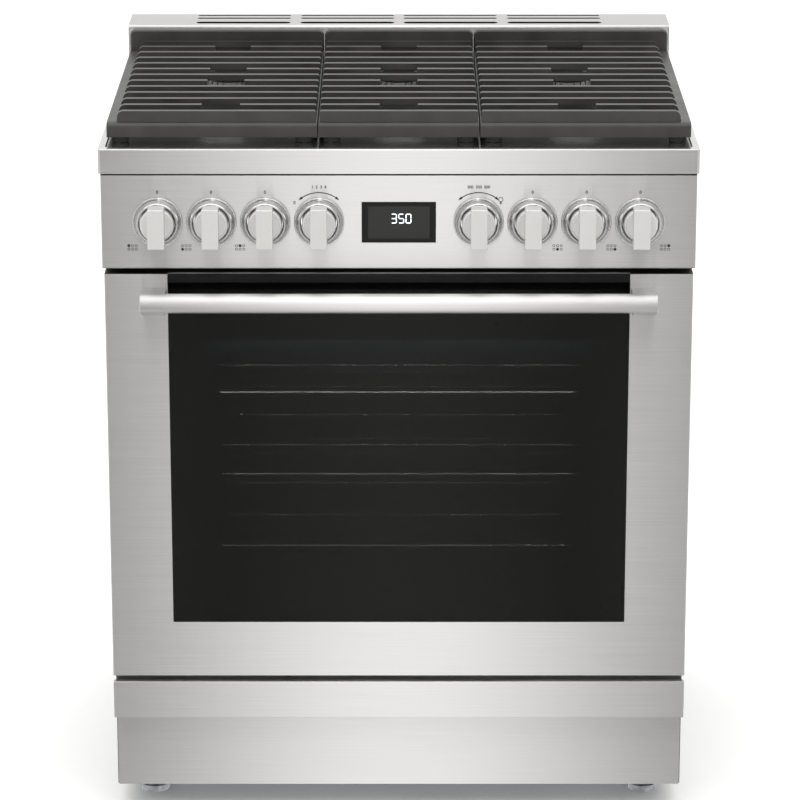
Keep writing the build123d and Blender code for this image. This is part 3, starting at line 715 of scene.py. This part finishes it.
knob_z = first.z
map_out, map_down, dot_pitch = 32.3, 33.6, 4.7
off_mark_up, off_mark_high = 36.5, 4.3
for node in knob_nodes:
    knob_x = middle(node).x
    if "oven" in node:
        oven_marks(node, knob_x)
        continue
    printed_numbers("0", knob_x, knob_z + off_mark_up * MM, off_mark_high)
    side = -1 if knob_x < 0 else 1
    column = 0 if "left" in node else 2 if "right" in node else 1
    row = 1 if "rear" in node else 0
    for c in range(3):
        for r in range(2):
            dot_x = knob_x + side * map_out * MM + (c - 1) * dot_pitch * MM
            dot_z = knob_z - map_down * MM + (r - 0.5) * dot_pitch * MM
            lit = (c, r) == (column, row)
            printed_ring(dot_x, dot_z, 1.9 if lit else 1.75, 0.0 if lit else 1.1)
settle(join(ink_pieces), "panel_printing", "printed_ink", "range_body", "brushed_stainless")
print("printing", bpy.context.object.dimensions)

# %% [markdown]
# Rubber feet keep the iron off the steel deck: short oval discs with rounded edges, one under
# each corner of a grate.

# %% Grate feet
pad_from_side, pad_from_end, pad_middle_up = 17 * MM, 6 * MM, 3.6 * MM
for section in ("left", "centre", "right"):
    low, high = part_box("grate_" + section)
    pads = []
    for x in (low.x + pad_from_side, high.x - pad_from_side):
        for y in (low.y + pad_from_end, high.y - pad_from_end):
            deselect()
            bpy.ops.mesh.primitive_cylinder_add(
                vertices=40, radius=1, depth=1, location=(x, y, low.z + pad_middle_up),
                scale=(11 * MM, 5.9 * MM, 6.8 * MM))
            pad = bpy.context.object
            bpy.ops.object.transform_apply(location=True, rotation=True, scale=True)
            soften(pad, 0.8)
            pads.append(pad)
    settle(join(pads), "rubber_feet_" + section, "black_rubber", section + "_grate",
           "cast_iron")
    print("feet", section, len(pads))

# %% [markdown]
# Hot air leaves the oven through a flue duct under the slotted rear trim. The duct is a black
# box, open at its top, that fills the trim from inside; its black is partly painted shade, so
# the slots look dark. The slot walls are painted black as painted shade, and the trim's own top
# is a darker copy of its steel, also painted shade.

# %% Slot walls painted black and the trim's top darkened, both as painted shade
low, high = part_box("rear_vent_trim")
slots_half_length, slots_margin = 290 * MM, 8 * MM
trim_piece = bpy.data.objects["rear_vent_trim_rounded"]
trim_piece.data.materials.append(materials["black_enamel"])
trim_piece.data.materials.append(materials["coarse_stainless"])
for face in trim_piece.data.polygons:
    near_top = high.z - 2.5 * MM < face.center.z < high.z - 0.1 * MM
    within = (abs(face.center.x) < slots_half_length
              and low.y + slots_margin < face.center.y < high.y - slots_margin)
    # black enamel on the slot walls: painted shade
    face.material_index = 1 if near_top and within and face.normal.z < 0.9 else 0
    # the darker steel on the trim's top faces: painted shade
    if face.normal.z > 0.9 and face.center.z > high.z - 1 * MM:
        face.material_index = 2
finishes = [face.material_index for face in trim_piece.data.polygons]
print("slot wall faces", finishes.count(1), "top faces", finishes.count(2))

# %% Flue duct, whose black is partly painted shade for the slots
deselect()
duct_gap, duct_tall, duct_middle_down, duct_hollow = 6 * MM, 44 * MM, 26 * MM, 30 * MM
bpy.ops.mesh.primitive_cube_add(
    size=1, location=(0, (low.y + high.y) / 2, high.z - duct_middle_down),
    scale=(high.x - low.x - duct_gap, high.y - low.y - duct_gap, duct_tall))
duct = bpy.context.object
bpy.ops.object.transform_apply(location=True, rotation=True, scale=True)
bpy.ops.object.mode_set(mode="EDIT")
bpy.ops.mesh.select_all(action="DESELECT")
bm = bmesh.from_edit_mesh(duct.data)
for face in bm.faces:
    face.select = face.normal.z > 0.9
bmesh.update_edit_mesh(duct.data)
bpy.ops.mesh.inset(thickness=1.2 * MM)
bpy.ops.mesh.extrude_region_move(TRANSFORM_OT_translate={"value": (0, 0, -duct_hollow)})
bpy.ops.object.mode_set(mode="OBJECT")
soften(duct, 0.3)
settle(duct, "flue_duct", "black_enamel", "range_body", "black_enamel")
print("duct faces", len(duct.data.polygons))

# %% [markdown]
# The rear sheet is held by self-tapping screws. A screw head is a low dome with a slot in its
# top: a disc is extruded outwards ring by ring, and the last ring is pushed back in as the slot.

# %% Screw heads


def screw_head(place, outward):
    """A slotted pan-head screw, looking outward."""
    deselect()
    bpy.ops.mesh.primitive_circle_add(vertices=24, radius=4.2 * MM, fill_type="NGON",
                                      location=(0, 0, 0))
    head = bpy.context.object
    bpy.ops.object.mode_set(mode="EDIT")
    bpy.ops.mesh.select_all(action="SELECT")
    for rise, ratio in ((0.9, 0.96), (0.7, 0.84), (0.4, 0.6)):
        bpy.ops.mesh.extrude_region_move(TRANSFORM_OT_translate={"value": (0, 0, rise * MM)})
        bpy.ops.transform.resize(value=(ratio, ratio, 1))
    bpy.ops.mesh.extrude_region_move(TRANSFORM_OT_translate={"value": (0, 0, -0.9 * MM)})
    bpy.ops.transform.resize(value=(0.35, 0.9, 1))
    bpy.ops.object.mode_set(mode="OBJECT")
    head.rotation_euler = Vector(outward).to_track_quat("Z", "Y").to_euler()
    head.location = place
    bpy.ops.object.transform_apply(location=True, rotation=True, scale=True)
    bpy.ops.object.shade_smooth_by_angle(angle=radians(30))
    return head


rear_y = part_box("rear_panel")[1].y
edge_screw_x, inner_screw_x, screw_heights = 355 * MM, 120 * MM, (0.14, 0.36, 0.58, 0.80)
places = [(x, z) for x in (-edge_screw_x, edge_screw_x) for z in screw_heights]
places += [(x, z) for x in (-inner_screw_x, inner_screw_x)
           for z in (screw_heights[0], screw_heights[-1])]
heads = [screw_head((x, rear_y - 0.1 * MM, z), (0, 1, 0)) for x, z in places]
settle(join(heads), "rear_screws", "rack_chrome", "range_body", "galvanised_sheet")
print("screws", len(heads), "rear face", rear_y)

# %% [markdown]
# A studio shot of an appliance stands on one pale sheet under soft light. The floor is a large
# plane with hardly any texture. It is hidden from gloss rays, or the lower steel would mirror
# endless white.

# %% Floor
deselect()
bpy.ops.mesh.primitive_plane_add(size=60, location=(0, 0, 0))
floor = bpy.context.object
floor.name = "floor"
floor_paint, tree, shader = new_material("pale_floor", "#f9f9f8", 0.75)
cloud = stretched_noise(tree, (900, 900, 900), 2.0).outputs["Fac"]
tree.links.new(tint(tree, vary(tree, cloud, 0, 1), "#f7f7f6", "#fbfbfa"),
               shader.inputs["Base Color"])
floor.data.materials.append(floor_paint)
floor.visible_glossy = False
print("floor", tuple(floor.dimensions))

# %% [markdown]
# Three lights do the lighting. A weak panel in front lifts the controls. A sun 100 degrees wide
# gives shadows without edges. A very weak one inside the oven, just behind the top of
# the door, lets the racks show through the smoked glass.

# %% Lamps


def hang_light(name, data, place=(0, 0, 0), aim=None):
    """Put a light in the scene, facing a point; without one it shines straight down."""
    lamp = bpy.data.objects.new(name, data)
    lamp.location = place
    if aim:
        lamp.rotation_euler = (Vector(aim) - Vector(place)).to_track_quat("-Z", "Y").to_euler()
    bpy.context.scene.collection.objects.link(lamp)
    return lamp


def panel_light(name, place, aim, size, power):
    """A soft rectangular light that faces a point and is never seen itself."""
    data = bpy.data.lights.new(name, "AREA")
    data.shape = "RECTANGLE"
    data.size, data.size_y = size
    data.energy = power
    hang_light(name, data, place, aim).visible_camera = False


panel_light("front_panel", (0, -3.2, 3.4), (0, 0, 0.5), (2.4, 1.0), 8)
sky_data = bpy.data.lights.new("soft_sky", "SUN")
sky_data.energy = 1.9
sky_data.angle = radians(100)
hang_light("soft_sky", sky_data)
glow_y, glow_z = cad_box[0].y + 0.11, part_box("oven_lamp")[1].z + 0.02
panel_light("oven_glow", (0, glow_y, glow_z), (0, cad_box[0].y + 0.2, 0.3), (0.5, 0.06), 1.2)
print("lights", [light.name for light in bpy.data.lights])

# %% [markdown]
# Brushed steel shows what stands around it, so the world is painted for its reflections. It is
# dim in front of the range and full behind it. One narrow bright strip straight ahead makes the
# bright band down the middle of the steel, and the world brightens again towards the flanks, so
# that the front isn't dull when it is seen at an angle. Every level is set by the direction:
# Y tells front from rear, and X over Y how far to the side it is.

# %% World
dim_front, full_rear = 0.09, 1.0
strip_half_width, strip_strength = 0.09, 2.3
flank_start, flank_end, flank_strength = 0.11, 0.32, 0.75
front_limit = 0.1
world = bpy.data.worlds.new("studio")
world.use_nodes = True
air = world.node_tree
facing = add(air, "ShaderNodeTexCoord")
parts = add(air, "ShaderNodeSeparateXYZ", Vector=facing.outputs["Generated"])
depth = add(air, "ShaderNodeMapRange", Value=parts.outputs["Y"], From_Min=-0.7, From_Max=0.2,
            To_Min=dim_front, To_Max=full_rear)
ahead = add(air, "ShaderNodeMath", {"operation": "MULTIPLY"}, n0=parts.outputs["Y"], n1=-1.0)
front = add(air, "ShaderNodeMath", {"operation": "MAXIMUM"}, n0=ahead.outputs["Value"], n1=0.05)
across = add(air, "ShaderNodeMath", {"operation": "DIVIDE"}, n0=parts.outputs["X"],
             n1=front.outputs["Value"])
away = add(air, "ShaderNodeMath", {"operation": "ABSOLUTE"}, n0=across.outputs["Value"])
strip = add(air, "ShaderNodeMapRange", {"interpolation_type": "SMOOTHSTEP"},
            Value=away.outputs["Value"], From_Min=0.0, From_Max=strip_half_width,
            To_Min=strip_strength, To_Max=0.0)
only_front = add(air, "ShaderNodeMath", {"operation": "GREATER_THAN"},
                 n0=ahead.outputs["Value"], n1=front_limit)
front_strip = add(air, "ShaderNodeMath", {"operation": "MULTIPLY"}, n0=strip.outputs["Result"],
                  n1=only_front.outputs["Value"])
rise = add(air, "ShaderNodeMapRange", {"interpolation_type": "SMOOTHSTEP"},
           Value=away.outputs["Value"], From_Min=flank_start, From_Max=flank_end,
           To_Min=0.0, To_Max=flank_strength)
flanks = add(air, "ShaderNodeMath", {"operation": "ADD"}, n0=depth.outputs["Result"],
             n1=rise.outputs["Result"])
capped = add(air, "ShaderNodeMath", {"operation": "MINIMUM"}, n0=flanks.outputs["Value"],
             n1=full_rear)
total = add(air, "ShaderNodeMath", {"operation": "ADD"}, n0=capped.outputs["Value"],
            n1=front_strip.outputs["Value"])
air.links.new(total.outputs["Value"], air.nodes["Background"].inputs["Strength"])
air.nodes["Background"].inputs["Color"].default_value = colour("#fbfbfa")
bpy.context.scene.world = world
print("world nodes", len(air.nodes))

# %% [markdown]
# The camera looks down on the cooktop a little, from five metres away with a long lens, so the
# front stays nearly square and the grates still show.

# %% Camera
camera_data = bpy.data.cameras.new("camera")
camera_data.sensor_width = 36
camera_data.lens = 172.3
camera = bpy.data.objects.new("camera", camera_data)
camera.location = (0.0015, -5.0, 2.0)
look_down = 16.73
camera.rotation_euler = (radians(90 - look_down), 0, 0)
bpy.context.scene.collection.objects.link(camera)
bpy.context.scene.camera = camera
bpy.context.scene.view_settings.view_transform = "Standard"
print("camera", tuple(camera.location))

# %% Clear the selection
deselect()
